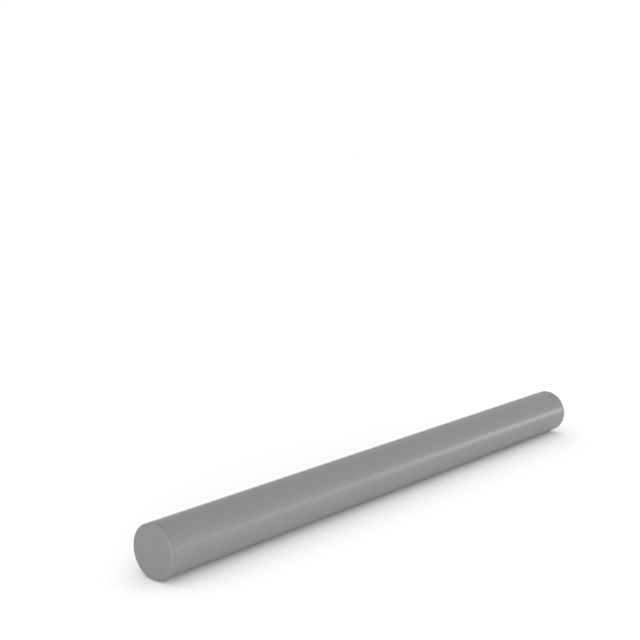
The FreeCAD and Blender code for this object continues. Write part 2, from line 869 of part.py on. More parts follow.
def roll(label, x):
    """A rubber half-roll between the basket and the cone's edge."""
    edge = -dim.baffle_front - 2.3
    outer, inner = dim.roll_outer, dim.roll_inner + 0.05
    middle = (outer + inner) / 2
    points = [
        (outer, edge),
        (outer, edge - 0.5),
        (outer - 0.7, edge - 0.5, (middle, edge - 0.15)),
        (inner + 0.7, edge - 0.5),
        (inner, edge - 0.5),
        (inner, edge),
        (inner + 1.1, edge, (middle, edge + 0.1)),
        (outer - 1.1, edge),
    ]
    return node(turned(label + "_body", points, x), label)


def spiders():
    """Corrugated cloth discs that centre the coils, one for each driver, behind where the cone's neck can reach."""
    made = []
    front = -dim.spider_depth
    back = front + dim.spider_thickness
    rise = dim.spider_rise
    for name, x in woofers.items():
        points = [
            (dim.coil_radius + 0.75, front),
            (dim.coil_radius + 2.2, front + rise),
            (dim.coil_radius + 3.6, front),
            (dim.coil_radius + 4.8, front + rise),
            (dim.motor_radius + 1.2, front + rise / 2),
            (dim.motor_radius + 1.2, back + rise / 2),
            (dim.coil_radius + 4.8, back + rise),
            (dim.coil_radius + 3.6, back),
            (dim.coil_radius + 2.2, back + rise),
            (dim.coil_radius + 0.75, back),
        ]
        made.append(turned(name + "_spider", points, x))
    return node(group("spider_set", made), "spiders")


def radiator_mount(name, x):
    """The ring that holds a passive radiator on the baffle."""
    front = -dim.baffle_front - dim.driver_rim_thickness
    hoop = ring(name + "_hoop", "y", dim.driver_rim, dim.roll_outer + 0.1, (front, -dim.baffle_front), (x, 0))
    return cut(name + "_hoop_drilled", hoop, rim_holes(name, x))


def radiator_rings():
    made = [radiator_mount(side + "_radiator", x) for side, x in radiators.items()]
    return node(group("radiator_ring_set", made), "radiator_rings")


def radiator_plate(side, x):
    """A stiff dished disc with a steel weight screwed to its back."""
    front = -dim.baffle_front - 2.2
    points = [
        (0, front - 1.4),
        (dim.roll_inner - 2, front - 1.4),
        (dim.roll_inner, front),
        (dim.roll_inner, front + 1.2),
        (0, front + 1.2),
    ]
    disc = turned(side + "_radiator_disc", points, x)
    weight = rod(side + "_radiator_weight", "y", 9, (front + 1.2, front + 4.2), (x, 0))
    return node(group(side + "_radiator_parts", [disc, weight]), side + "_radiator_plate")


def driver_screws():
    """Four short screws for each driver and each passive radiator, put in from the front."""
    made = []
    front = -dim.baffle_front - dim.driver_rim_thickness
    length = (front - 0.5, -dim.baffle_front + 2.5)
    for name, x in [*woofers.items(), *radiators.items()]:
        for n, (dx, dz) in enumerate(driver_screw_places()):
            where = (x + dx, dz)
            shank = rod(f"{name}_screw_shank_{n}", "y", dim.screw_radius, length, where)
            head = rod(f"{name}_screw_head_{n}", "y", 1.9, (front - 1.3, front), where)
            made.append(fuse(f"{name}_screw_{n}", [shank, head]))
    return node(group("driver_screw_set", made), "driver_screws")


def damping_pads():
    """Wads of wool on the back wall of each chamber, on both sides of the radiator's middle."""
    made = []
    depth = (2, dim.chamber_back - dim.chamber_wall - 0.1)
    for sign in sides.values():
        for first, last in ((150, 222), (278, 346)):
            limits = (first, last) if sign > 0 else (-last, -first)
            made.append(block(f"pad_{len(made)}", limits, depth, (-22, 15)))
    return node(group("pad_set", made), "damping_pads")


# Connectors, boards and leads.

connectors = {
    # name: (middle along the bar, half width, height above the board, depth)
    "hdmi_socket": (-44, 7.6, 5.8, 12),
    "usb_socket": (-19, 6.6, 6.2, 13),
    "optical_socket": (8, 5, 10, 12),
    "aux_socket": (36, 4, 7.4, 13),
}
board_top = -8


def io_panel():
    """The floor of the bay, with a window for each connector."""
    floor = block(
        "panel_sheet",
        (-dim.bay_half_length - 0.5, dim.bay_half_length + 0.5),
        (dim.bay_floor - dim.panel_thickness, dim.bay_floor - 0.02),
        (-dim.bay_half_height - 0.5, dim.bay_half_height + 0.5),
    )
    windows = [
        connector_form(name, name + "_window", 0.15, (dim.bay_floor - 4, dim.bay_floor + 1)) for name in connectors
    ]
    return node(cut("panel", floor, windows), "io_panel")


def connector_form(name, form, gap, depth):
    """A connector's outline over a depth, larger all round by a gap. The HDMI one has two bevelled lower corners."""
    x, half, height, _ = connectors[name]
    solid = block(form, (x - half - gap, x + half + gap), depth, (board_top - gap, board_top + height + gap))
    if name != "hdmi_socket":
        return solid
    return eased("Part::Chamfer", form + "_bevelled", solid, 1.7, low_corner(board_top - gap))


def low_corner(level):
    """A test for the edges that run from front to back at a level above the barrel's axis."""
    height = (dim.axis_height + level).value

    def chosen(edge):
        return edge.BoundBox.YLength > 1 and abs(edge.BoundBox.ZMin - height) + edge.BoundBox.ZLength < 1e-6

    return chosen


def connector_shell(name):
    depth = connectors[name][3]
    return connector_form(name, name + "_shell", 0, (dim.bay_floor - depth, dim.bay_floor))


def hdmi_socket():
    """A steel shell with a mouth bevelled at its lower corners, round a contact tongue."""
    x = connectors["hdmi_socket"][0]
    mouth = block(
        "hdmi_mouth",
        (x - 7.1, x + 7.1),
        (dim.bay_floor - 9, dim.bay_floor + 1),
        (board_top + 0.5, board_top + 5.3),
    )
    bevelled = eased("Part::Chamfer", "hdmi_mouth_bevelled", mouth, 1.5, low_corner(board_top + 0.5))
    tongue = block(
        "hdmi_tongue",
        (x - 5.4, x + 5.4),
        (dim.bay_floor - 9.5, dim.bay_floor - 1.2),
        (board_top + 2.6, board_top + 3.6),
    )
    opened = cut("hdmi_opened", connector_shell("hdmi_socket"), [bevelled])
    return node(fuse("hdmi_solid", [opened, tongue]), "hdmi_socket")


def usb_socket():
    x = connectors["usb_socket"][0]
    mouth = block(
        "usb_mouth",
        (x - 6.15, x + 6.15),
        (dim.bay_floor - 10, dim.bay_floor + 1),
        (board_top + 0.5, board_top + 5.7),
    )
    tongue = block(
        "usb_tongue",
        (x - 5.6, x + 5.6),
        (dim.bay_floor - 10.5, dim.bay_floor - 0.8),
        (board_top + 3.4, board_top + 5.2),
    )
    opened = cut("usb_opened", connector_shell("usb_socket"), [mouth])
    return node(fuse("usb_solid", [opened, tongue]), "usb_socket")


def optical_socket():
    """A square optical socket whose cavity is closed by a spring shutter hung from the top."""
    x = connectors["optical_socket"][0]
    mouth = block(
        "optical_mouth",
        (x - 3.6, x + 3.6),
        (dim.bay_floor - 9, dim.bay_floor + 1),
        (board_top + 1, board_top + 9),
    )
    lens = rod("optical_lens", "y", 1.2, (dim.bay_floor - 10, dim.bay_floor - 7.6), (x, board_top + 5))
    opened = cut("optical_opened", connector_shell("optical_socket"), [mouth])
    return node(fuse("optical_solid", [opened, lens]), "optical_socket")


def optical_shutter():
    """The shutter: a thin flap on a pin along its top edge, which swings in when a plug is pushed home."""
    x = connectors["optical_socket"][0]
    flap = block(
        "shutter_flap",
        (x - 3.3, x + 3.3),
        (dim.bay_floor - 1.4, dim.bay_floor - 0.8),
        (board_top + 1.6, board_top + 8),
    )
    pin = rod("shutter_pin", "x", 0.5, (x - 3.4, x + 3.4), (dim.bay_floor - 1.1, board_top + 8.2))
    return node(fuse("shutter_solid", [flap, pin]), "optical_shutter")


def aux_socket():
    """A round 3.5 mm socket."""
    x = connectors["aux_socket"][0]
    bore = rod("aux_bore", "y", 1.8, (dim.bay_floor - 12, dim.bay_floor + 1), (x, board_top + 3.7))
    return node(cut("aux_solid", connector_shell("aux_socket"), [bore]), "aux_socket")


def mains_inlet():
    """A two-pin appliance inlet, flush with the back face."""
    middle, half, back = dim.inlet_place, dim.inlet_half_length, dim.back_face
    height = (-dim.inlet_half_height, dim.inlet_half_height)
    body = block("inlet_body", (middle - half, middle + half), (back - 18, back - 0.1), height)
    hollow = (back - dim.inlet_depth, back + 1)
    tools = [rod(f"inlet_round_{n}", "y", 4.9, hollow, (middle + dx, 0)) for n, dx in enumerate((-4.1, 4.1))]
    tools.append(block("inlet_middle", (middle - 4.1, middle + 4.1), hollow, (-3.9, 3.9)))
    pins = [
        rod(f"inlet_pin_{n}", "y", 1.2, (back - dim.inlet_depth - 1, back - 3), (middle + dx, 0))
        for n, dx in enumerate((-4.3, 4.3))
    ]
    return node(fuse("inlet_solid", [cut("inlet_opened", body, tools), *pins]), "mains_inlet")


def board_tray():
    """A moulded tray between the chambers that holds the main board on four standoffs."""
    depth, low, top = (-12, 17), -14.5, board_top - dim.board_thickness
    floor = block("tray_floor", (-64, 64), depth, (low, low + 1.5))
    walls = [
        block(f"tray_side_{n}", limits, depth, (low, top)) for n, limits in enumerate(((-64, -62.5), (62.5, 64)))
    ]
    posts = [
        rod(f"tray_post_{n}", "z", 2.6, (low + 1.3, top), where)
        for n, where in enumerate(board_post_places())
    ]
    holes = [
        rod(f"tray_post_hole_{n}", "z", dim.screw_radius + dim.screw_fit, (-13, 0), where)
        for n, where in enumerate(board_post_places())
    ]
    return node(cut("tray_drilled", fuse("tray_solid", [floor, *walls, *posts]), holes), "board_tray")


def board_post_places():
    return [(-57, -9), (57, -9), (-57, 11), (57, 11)]


def main_board():
    board = block("main_board_sheet", (-61, 61), (-12, 17.5), (board_top - dim.board_thickness, board_top))
    holes = [
        rod(f"main_board_hole_{n}", "z", dim.screw_radius + dim.screw_clearance, (-12, -4), where)
        for n, where in enumerate(board_post_places())
    ]
    return node(cut("main_board_drilled", board, holes), "main_board")


def board_screws():
    """Short screws of the main board, the control board and the power board."""
    made = []
    wide, tall, thick = dim.small_head_radius, dim.small_head_height, dim.board_thickness
    front = board_front()
    rows = [
        # name, axis, shank, head, places
        ("board", "z", (board_top - 4.6, board_top + 0.5), (board_top, board_top + tall), board_post_places()),
        ("control", "x", (front - 2, front + 4), (front - thick - tall, front - thick), post_places()),
        ("power", "y", (13, 20), (13.6 - tall, 13.6), power_screw_places()),
    ]
    for name, axis, shank_span, head_span, places in rows:
        for n, where in enumerate(places):
            shank = rod(f"{name}_screw_shank_{n}", axis, dim.screw_radius, shank_span, where)
            head = rod(f"{name}_screw_head_{n}", axis, wide, head_span, where)
            made.append(fuse(f"{name}_screw_{n}", [shank, head]))
    return node(group("board_screw_set", made), "board_screws")


def board_modules():
    """The two amplifier chips, the processor and the wireless module."""
    made = [
        block(f"chip_{n}", (x - 4.5, x + 4.5), (-9, 0), (board_top, board_top + 1.2))
        for n, x in enumerate((-14, 14))
    ]
    made.append(block("processor_chip", (-42, -32), (-9, 1), (board_top, board_top + 1.2)))
    carrier = block("radio_board", (38, 50), (-7.3, 1.5), (board_top, board_top + 0.8))
    can = block("radio_can", (39, 47), (-6.7, 0.9), (board_top + 0.8, board_top + 2.6))
    made.append(fuse("radio_solid", [carrier, can]))
    return node(group("module_set", made), "board_modules")


def heat_sink():
    """An extruded block with upright fins that lies on both amplifier chips."""
    low = board_top + 1.2
    base = block("sink_base", (-25, 25), (-11, 2), (low, low + 2.5))
    fins = [
        block(f"sink_fin_{n}", (-25 + n * 4.88, -25 + n * 4.88 + 1.2), (-11, 2), (low + 2, low + 13))
        for n in range(11)
    ]
    return node(fuse("sink_solid", [base, *fins]), "heat_sink")


def indicator_board():
    """A small upright board in front of the baffle's middle, with five lamps and the remote control's receiver."""
    back = -dim.baffle_front - 1
    face = -dim.baffle_front - 2.4
    made = [block("indicator_sheet", (-22, 22), (face, back), (6, 16))]
    made += [
        rod(f"indicator_foot_{n}", "y", 2, (back - 0.2, -dim.baffle_front), (x, 11))
        for n, x in enumerate((-18, 18))
    ]
    made += [
        block(f"lamp_{n}", (x - 0.8, x + 0.8), (face - 0.8, face + 0.2), (10.4, 11.6))
        for n, x in enumerate((-16, -11, -6, -1, 4))
    ]
    made.append(block("eye_block", (10, 16), (face - 2.4, face + 0.2), (7.5, 14.5)))
    made.append(rod("eye_dome", "y", 2.2, (face - 3.6, face - 2), (13, 11.5)))
    return node(fuse("indicator_solid", made), "indicator_board")


def power_screw_places():
    return [(x, level) for x in (-325, -205) for level in (-17, 17)]


def power_board():
    board = block("power_sheet", (-332, -198), (13.6, 15.2), (-21, 21))
    holes = [
        rod(f"power_board_hole_{n}", "y", dim.screw_radius + dim.screw_clearance, (13, 16), where)
        for n, where in enumerate(power_screw_places())
    ]
    return node(cut("power_board_drilled", board, holes), "power_board")


def power_components():
    """A transformer, whose ferrite core goes round a wound bobbin, and four capacitors."""
    core = block("core", (-234, -212), (15.2, 31), (-9.5, 9.5))
    window = block("core_window", (-230, -216), (17, 29.2), (-12, 12))
    winding = block("winding", (-230, -216), (17, 29.2), (-12.5, 12.5))
    cans = [
        rod(f"capacitor_{n}", "y", radius, (15.2, top), (x, z))
        for n, (x, z, radius, top) in enumerate(
            ((-312, 0, 8, 31), (-291, 9, 5, 27), (-291, -9, 5, 27), (-278, 0, 4, 26))
        )
    ]
    return node(group("power_parts", [cut("core_ring", core, [window]), winding, *cans]), "power_components")


def route(points, radius):
    """A wire of straight runs joined by tangent arcs, each as large as 0.45 of its shorter run allows."""
    points = [Vector(x, y, z + dim.axis_height.value) for x, y, z in points]
    edges, start, radii = [], points[0], []
    for before, corner, after in zip(points, points[1:], points[2:]):
        reach = 0.45 * min((corner - before).Length, (after - corner).Length)
        backwards, forwards = (before - corner).normalize(), (after - corner).normalize()
        first, last = corner + backwards * reach, corner + forwards * reach
        half = (before - corner).getAngle(after - corner) / 2
        bend = reach * math.tan(half)
        radii.append(round(bend, 1))
        middle = corner + (backwards + forwards).normalize() * (bend / math.sin(half) - bend)
        edges += [Part.LineSegment(start, first).toShape(), Part.Arc(first, middle, last).toShape()]
        start = last
    print("bends", radii)
    edges.append(Part.LineSegment(start, points[-1]).toShape())
    spine = Part.Wire(edges)
    way = (points[1] - points[0]).normalize()
    section = Part.Wire([Part.Circle(points[0], way, radius).toShape()])
    tube = spine.makePipeShell([section], True, False)
    if tube.ShapeType != "Solid":
        tube = Part.Solid(tube)
    return tube


def lead(name, points, radius):
    cable = doc.addObject("Part::Feature", name)
    cable.Shape = route(points, radius)
    return cable


def wiring_harness():
    """Twin leads from the main board to each driver, the loom to the controls and the leads of the power board."""
    made = []
    inner, outer = dim.inner_driver_place.value, dim.outer_driver_place.value
    near = [(54, 3.2, -7.1), (72, 3.2, -7.1), (84, 1, -8), (inner - 26, -4.5, -9.6), (inner - 17.8, -6.5, -9)]
    far = [(54, 5.6, -7.1), (74, 5.6, -7.1), (92, 6.4, 4), (112, 7, 18.6), (150, 7, 22.4), (200, 7.6, 22.9)]
    far += [(250, 7, 22.3), (300, 6.6, 22.8), (334, 3.4, 21), (outer - 23, -3, 15.5), (outer - 17.8, -6.5, 9)]
    for side, sign in sides.items():
        made.append(lead(side + "_near_lead", [(sign * x, y, z) for x, y, z in near], 0.9))
        made.append(lead(side + "_far_lead", [(sign * x, y, z) for x, y, z in far], 0.9))
    loom = [(59, -4, -8), (59, -4, 7), (59, 14.5, 9), (82, 16.6, 9), (130, 17.4, 8.6), (180, 17, 9.2)]
    loom += [(230, 17.4, 8.7), (280, 17, 9.2), (330, 17.4, 8.8), (380, 17, 9.1), (425, 15.6, 8.6)]
    loom += [(462, 10.4, 8), (486, 6, 7), (504.1, 6, 7)]
    made.append(lead("control_loom", loom, 1.1))
    supply = [(-198, 14.4, 6), (-176, 14.4, 6), (-136, 15.2, 10.6), (-84, 15.2, 9.6), (-59, 14.5, 9), (-59, -4, 7)]
    supply.append((-59, -4, -8))
    made.append(lead("supply_lead", supply, 1.1))
    for level in (-4, 4):
        places = [(-187, 23, level), (-196, 23, level), (-203, 20, level * 1.2), (-203, 15.2, level * 1.2)]
        made.append(lead(f"inlet_lead_{level + 4}", places, 0.9))
    return node(group("lead_set", made), "wiring_harness")


# Assembly.


def build():
    grille_cloth()
    grille_frame()
    rear_shell()
    left_end_cap()
    right_end_cap()
    case_screws()
    bracket_inserts()
    rubber_feet()
    for name, y, z, radius in keys():
        control_key(name, y, z, radius)
    control_board()
    tact_switches()
    front_baffle()
    chamber("left", -1)
    chamber("right", 1)
    chamber_gaskets()
    for name, x in woofers.items():
        basket(name, x)
        motor(name, x)
        cone(name, x)
        roll(name + "_driver_surround", x)
    spiders()
    radiator_rings()
    for side, x in radiators.items():
        radiator_plate(side, x)
        roll(side + "_radiator_surround", x)
    driver_screws()
    damping_pads()
    io_panel()
    hdmi_socket()
    usb_socket()
    optical_socket()
    optical_shutter()
    aux_socket()
    mains_inlet()
    board_tray()
    main_board()
    board_screws()
    board_modules()
    heat_sink()
    indicator_board()
    power_board()
    power_components()
    wiring_harness()
    doc.recompute()


def check():
    """Stops if an object failed, or if a sub-part's shape is missing or not valid."""
    failed = [thing.Name for thing in doc.Objects if {"Invalid", "Error"} & set(thing.State)]
    if failed:
        raise RuntimeError(f"these objects failed: {failed}")
    for thing in nodes:
        shape = thing.Shape
        if shape.isNull() or not shape.isValid() or not shape.Solids:
            raise RuntimeError(f"{thing.Label} has no valid shape")
        if min(solid.Volume for solid in shape.Solids) <= 0:
            raise RuntimeError(f"{thing.Label} has an empty solid")


def export():
    os.makedirs("parts", exist_ok=True)
    for name in os.listdir("parts"):
        os.remove(os.path.join("parts", name))
    for thing in nodes:
        thing.Shape.exportStep(os.path.join("parts", thing.Label + ".step"))
        print(thing.Label, len(thing.Shape.Solids), "solids", round(thing.Shape.Volume), "mm3")


build()
check()
export()
print(len(nodes), "nodes")
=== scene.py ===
import math

import bmesh
import bpy
import numpy as np
from mathutils import Matrix, Vector


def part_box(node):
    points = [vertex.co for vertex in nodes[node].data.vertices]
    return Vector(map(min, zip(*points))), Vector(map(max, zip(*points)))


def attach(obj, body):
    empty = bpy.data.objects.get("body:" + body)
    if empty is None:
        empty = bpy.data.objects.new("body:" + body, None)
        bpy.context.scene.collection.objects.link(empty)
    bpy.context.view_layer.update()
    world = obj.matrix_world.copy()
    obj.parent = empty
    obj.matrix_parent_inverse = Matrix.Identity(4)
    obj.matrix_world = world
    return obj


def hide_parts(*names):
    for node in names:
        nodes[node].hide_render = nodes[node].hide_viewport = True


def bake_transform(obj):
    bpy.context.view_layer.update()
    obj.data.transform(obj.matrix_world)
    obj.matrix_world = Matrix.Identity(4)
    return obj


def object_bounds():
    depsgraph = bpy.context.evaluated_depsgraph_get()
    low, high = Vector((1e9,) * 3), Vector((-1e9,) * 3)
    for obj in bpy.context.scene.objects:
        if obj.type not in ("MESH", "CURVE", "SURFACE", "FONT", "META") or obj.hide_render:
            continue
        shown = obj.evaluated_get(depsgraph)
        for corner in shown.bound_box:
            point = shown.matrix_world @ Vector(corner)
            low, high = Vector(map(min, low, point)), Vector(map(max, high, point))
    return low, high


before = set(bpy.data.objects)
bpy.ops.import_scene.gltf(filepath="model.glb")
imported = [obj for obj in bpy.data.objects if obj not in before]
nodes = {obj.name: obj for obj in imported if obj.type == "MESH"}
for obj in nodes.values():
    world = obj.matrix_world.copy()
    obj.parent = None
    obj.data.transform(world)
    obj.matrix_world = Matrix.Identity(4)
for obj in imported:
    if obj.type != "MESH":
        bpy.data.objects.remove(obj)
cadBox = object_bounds()

mm = 0.001
capLow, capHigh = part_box("left_end_cap")
axisZ = (capLow.z + capHigh.z) / 2  # height of the barrel's axis above the feet
barRadius = (capHigh.z - capLow.z) / 2
barHalf = cadBox[1].x
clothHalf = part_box("grille_cloth")[1].x
sharpAngle = math.radians(35)  # faces that meet at more than this keep an edge between them
flatAngle = math.radians(0.5)  # faces that meet at less than this become one


# Camera, lamps and floor.

cameraSetup = {
    "place": (-1.4717, -1.1250, 0.5566),  # from the middle of the barrel's axis
    "yaw": 0.8562,  # turned from +Y towards +X
    "pitch": -0.1657,
    "lens": 64.97,
}


def makeCamera(setup):
    # the camera looks along its own -Z: its three axes are right, up and back from the view
    yaw, pitch = setup["yaw"], setup["pitch"]
    ahead = Vector((math.sin(yaw) * math.cos(pitch), math.cos(yaw) * math.cos(pitch), math.sin(pitch)))
    right = Vector((math.cos(yaw), -math.sin(yaw), 0.0))
    turned = Matrix((right, right.cross(ahead), -ahead)).transposed().to_4x4()
    turned.translation = Vector(setup["place"]) + Vector((0, 0, axisZ))
    camera = bpy.data.objects.new("camera", bpy.data.cameras.new("camera"))
    camera.data.lens = setup["lens"]
    camera.data.clip_end = 100
    camera.matrix_world = turned
    bpy.context.scene.collection.objects.link(camera)
    bpy.context.scene.camera = camera


studioSetup = {
    "roomColor": (1.0, 1.0, 1.0),
    "roomStrength": 1.03,
    "floorColor": (0.97, 0.97, 0.97),
    "floorRoughness": 0.9,
    "floorSize": 60.0,
    "lamps": {  # where each stands from the bar, how large it is, and its watts
        "sideKey": {"toward": (0.85, -0.52, 0.05), "distance": 6.0, "size": (0.5, 0.4), "power": 47},
        "sideGlow": {"toward": (0.6, -0.78, 0.07), "distance": 5.0, "size": (1.4, 0.9), "power": 36},
        "frontFill": {"toward": (-0.68, -0.72, 0.12), "distance": 4.0, "size": (2.0, 1.0), "power": 60},
    },
}


def makeStudio(setup):
    scene = bpy.context.scene
    world = bpy.data.worlds.new("room")
    scene.world = world
    world.use_nodes = True
    sky = world.node_tree.nodes["Background"]
    sky.inputs["Color"].default_value = (*setup["roomColor"], 1)
    sky.inputs["Strength"].default_value = setup["roomStrength"]
    scene.view_settings.view_transform = "Standard"

    for name, lamp in setup["lamps"].items():
        toward = Vector(lamp["toward"]).normalized()
        data = bpy.data.lights.new(name, "AREA")
        data.shape = "RECTANGLE"
        data.size, data.size_y = lamp["size"]
        data.energy = lamp["power"]
        light = bpy.data.objects.new(name, data)
        light.location = toward * lamp["distance"] + Vector((0, 0, axisZ))
        light.rotation_euler = (-toward).to_track_quat("-Z", "Y").to_euler()
        light.visible_camera = False
        scene.collection.objects.link(light)

    half = setup["floorSize"] / 2
    mesh = bpy.data.meshes.new("floor")
    corners = [(-half, -half, 0), (half, -half, 0), (half, half, 0), (-half, half, 0)]
    mesh.from_pydata(corners, [], [(0, 1, 2, 3)])
    paint = Paint("floorPaint", setup["floorColor"], setup["floorRoughness"], specular=0.0)
    mesh.materials.append(paint.material)
    floor = bpy.data.objects.new("floor", mesh)
    scene.collection.objects.link(floor)


# Shaders. A Wire is an output socket that can be added, multiplied and compared like a number.


class Wire:
    def __init__(self, paint, socket):
        self.paint = paint
        self.socket = socket

    def math(self, operation, *others):
        return self.paint.add("Math", {"operation": operation}, [self, *others])

    def __add__(self, other):
        return self.math("ADD", other)

    def __sub__(self, other):
        return self.math("SUBTRACT", other)

    def __rsub__(self, other):
        return self.paint.add("Math", {"operation": "SUBTRACT"}, [other, self])

    def __mul__(self, other):
        return self.math("MULTIPLY", other)

    def __truediv__(self, other):
        return self.math("DIVIDE", other)

    def __pow__(self, other):
        return self.math("POWER", other)

    def __lt__(self, other):
        return self.math("LESS_THAN", other)

    def __gt__(self, other):
        return self.math("GREATER_THAN", other)

    def __or__(self, other):
        return self.math("MAXIMUM", other)

    def __abs__(self):
        return self.math("ABSOLUTE")

    def over(self, low, high):
        return self * (high - low) + low  # 0 to 1 becomes low to high


class Paint:
    # a material with one Principled shader

    def __init__(self, name, color, roughness, metallic=0.0, specular=0.5):
        self.material = bpy.data.materials.new(name)
        self.material.use_nodes = True
        self.tree = self.material.node_tree
        self.shader = self.tree.nodes["Principled BSDF"]
        self.place = None
        values = {"Base Color": (*color, 1), "Roughness": roughness, "Metallic": metallic}
        values["Specular IOR Level"] = specular
        for socket, value in values.items():
            self.shader.inputs[socket].default_value = value

    def add(self, kind, settings=None, sockets=(), output=0):
        # adds a node: its settings first, then values or links for its sockets, by number or by name
        node = self.tree.nodes.new("ShaderNode" + kind)
        for name, value in (settings or {}).items():
            setattr(node, name, value)
        for key, value in sockets.items() if isinstance(sockets, dict) else enumerate(sockets):
            self.feed(node.inputs[key], value)
        return Wire(self, node.outputs[output])

    def feed(self, socket, value):
        if isinstance(value, Wire):
            self.tree.links.new(value.socket, socket)
        else:
            socket.default_value = value

    def coordinates(self, source="Object"):
        # x, y and z in metres, or a map's own two numbers and zero
        self.place = self.add("TexCoord", output=source)
        node = self.add("SeparateXYZ", sockets=[self.place]).socket.node
        return [Wire(self, output) for output in node.outputs]

    def spread(self, x, y, z):
        return self.add("CombineXYZ", sockets=[x, y, z])

    def noise(self, size, detail=2.0, place=None):
        # smooth noise from 0 to 1, its lumps about size metres across
        sockets = {"Vector": place or self.place, "Scale": 1 / size, "Detail": detail}
        return self.add("TexNoise", None, sockets)

    def cells(self, size, place=None):
        # distance from the middle of the nearest of many scattered cells
        return self.add("TexVoronoi", None, {"Vector": place or self.place, "Scale": 1 / size})

    def tint(self, color, amount):
        return self.add("VectorMath", {"operation": "SCALE"}, {0: color, "Scale": amount})

    def mix(self, mask, first, second):
        # colour first where the mask is 0 and second where it is 1
        first, second = [c if isinstance(c, Wire) else (*c[:3], 1) for c in (first, second)]
        return self.add("Mix", {"data_type": "RGBA"}, {0: mask, 6: first, 7: second}, output=2)

    def paintWith(self, color, rough, height=None, depth=0.0, metal=None):
        # height from 0 to 1 stands depth metres high
        self.feed(self.shader.inputs["Base Color"], color)
        self.feed(self.shader.inputs["Roughness"], rough)
        if metal is not None:
            self.feed(self.shader.inputs["Metallic"], metal)
        if height is not None:
            bent = self.add("Bump", None, {"Height": height, "Distance": depth, "Strength": 1.0})
            self.feed(self.shader.inputs["Normal"], bent)
        return self.material


# Surfaces.


def addPiece(name, mesh, material, replaced, bends=False):
    # every new piece rides on the housing, unless it bends between two bodies
    piece = bpy.data.objects.new(name, mesh)
    bpy.context.scene.collection.objects.link(piece)
    mesh.materials.append(material)
    if not bends:
        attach(piece, "housing")
    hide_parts(replaced)
    return piece


def gridMesh(name, points, closed=False, flatMap=None):
    # points[row, column] is a place on the surface; each face joins a point to the next row and the next
    # column, and a closed surface joins its last column to its first. flatMap is a flat map in metres
    rows, columns = points.shape[:2]
    row, column = np.meshgrid(np.arange(rows - 1), np.arange(columns - (not closed)), indexing="ij")
    nextRow, nextColumn = row + 1, (column + 1) % columns
    corners = [(row, column), (row, nextColumn), (nextRow, nextColumn), (nextRow, column)]
    faces = np.stack([r * columns + c for r, c in corners], axis=-1).reshape(-1, 4)
    mesh = bpy.data.meshes.new(name)
    mesh.vertices.add(rows * columns)
    mesh.vertices.foreach_set("co", points.reshape(-1).astype(np.float32))
    mesh.loops.add(faces.size)
    mesh.loops.foreach_set("vertex_index", faces.reshape(-1).astype(np.int32))
    mesh.polygons.add(len(faces))
    mesh.polygons.foreach_set("loop_start", np.arange(0, faces.size, 4, dtype=np.int32))
    mesh.update(calc_edges=True)
    mesh.polygons.foreach_set("use_smooth", np.ones(len(faces), bool))
    if flatMap is not None:
        layer = mesh.uv_layers.new(name="flat")
        flat = flatMap.reshape(-1, 2)[faces.reshape(-1)]
        layer.data.foreach_set("uv", flat.reshape(-1).astype(np.float32))
    return mesh


def closeMesh(mesh):
    # merges the points that lie on each other, as at a pole, and turns the faces outwards
    work = bmesh.new()
    work.from_mesh(mesh)
    bmesh.ops.remove_doubles(work, verts=work.verts, dist=1e-7)
    bmesh.ops.recalc_face_normals(work, faces=work.faces)
    work.to_mesh(mesh)
    work.free()
    return mesh


def nodePoints(name):
    # the corners of a node's triangles, one row for each
    vertices = nodes[name].data.vertices
    points = np.empty(len(vertices) * 3, np.float32)
    vertices.foreach_get("co", points)
    return points.reshape(-1, 3)


def thicken(piece, thickness, offset):
    # gives a surface its thickness: all of it behind at -1, half on each side at 0
    wall = piece.modifiers.new("thickness", "SOLIDIFY")
    wall.thickness = thickness
    wall.offset = offset


# Grille cloth: one stretched sheet round the front, top and bottom of the barrel, its edges rolled under.

clothSetup = {
    "color": (0.186, 0.186, 0.187),
    "roughness": 0.36,
    "specular": 0.2,
    "thread": 0.8 * mm,  # from one thread to the next
    "threadRise": 0.018 * mm,
    "slub": 1.4 * mm,  # width of the uneven stretches in a thread
    "slubDraw": 0.1,  # they are drawn out along it to one over this
    "cloud": 60 * mm,
    "edgeRoll": 0.45 * mm,
    "thickness": 0.25 * mm,
    "seamTop": 56.35,  # degrees up from +Y
    "seamBottom": 250.65,
    "stepsAlong": 200,
    "stepsAround": 120,
    "stepsRoll": 6,
}


def clothPaint(setup):
    # plain weave: each thread is the arch of a sine, and the product of both sines says which is on top
    paint = Paint("grilleClothWeave", setup["color"], setup["roughness"], specular=setup["specular"])
    u, v = paint.coordinates("UV")[:2]
    turn = math.pi / setup["thread"]
    warp, weft = (u * turn).math("SINE"), (v * turn).math("SINE")
    onTop = warp * weft * 0.5 + 0.5
    height = abs(warp) * onTop + abs(weft) * (1 - onTop)
    alongU = paint.noise(setup["slub"], 3, paint.spread(u * setup["slubDraw"], v, 0.0))
    alongV = paint.noise(setup["slub"], 3, paint.spread(u, v * setup["slubDraw"], 0.0))
    yarn = alongU * onTop + alongV * (1 - onTop)
    cloudy = paint.noise(setup["cloud"], 2)
    # the weave's low places are darker: painted shade between the threads; the slubs and clouds are the
    # yarn's own tone
    tone = height.over(0.86, 1.07) * yarn.over(0.9, 1.1) * cloudy.over(0.985, 1.015)
    rough = yarn.over(setup["roughness"] - 0.05, setup["roughness"] + 0.05)
    color = paint.tint(setup["color"], tone)
    return paint.paintWith(color, rough, height + yarn * 0.5, setup["threadRise"])


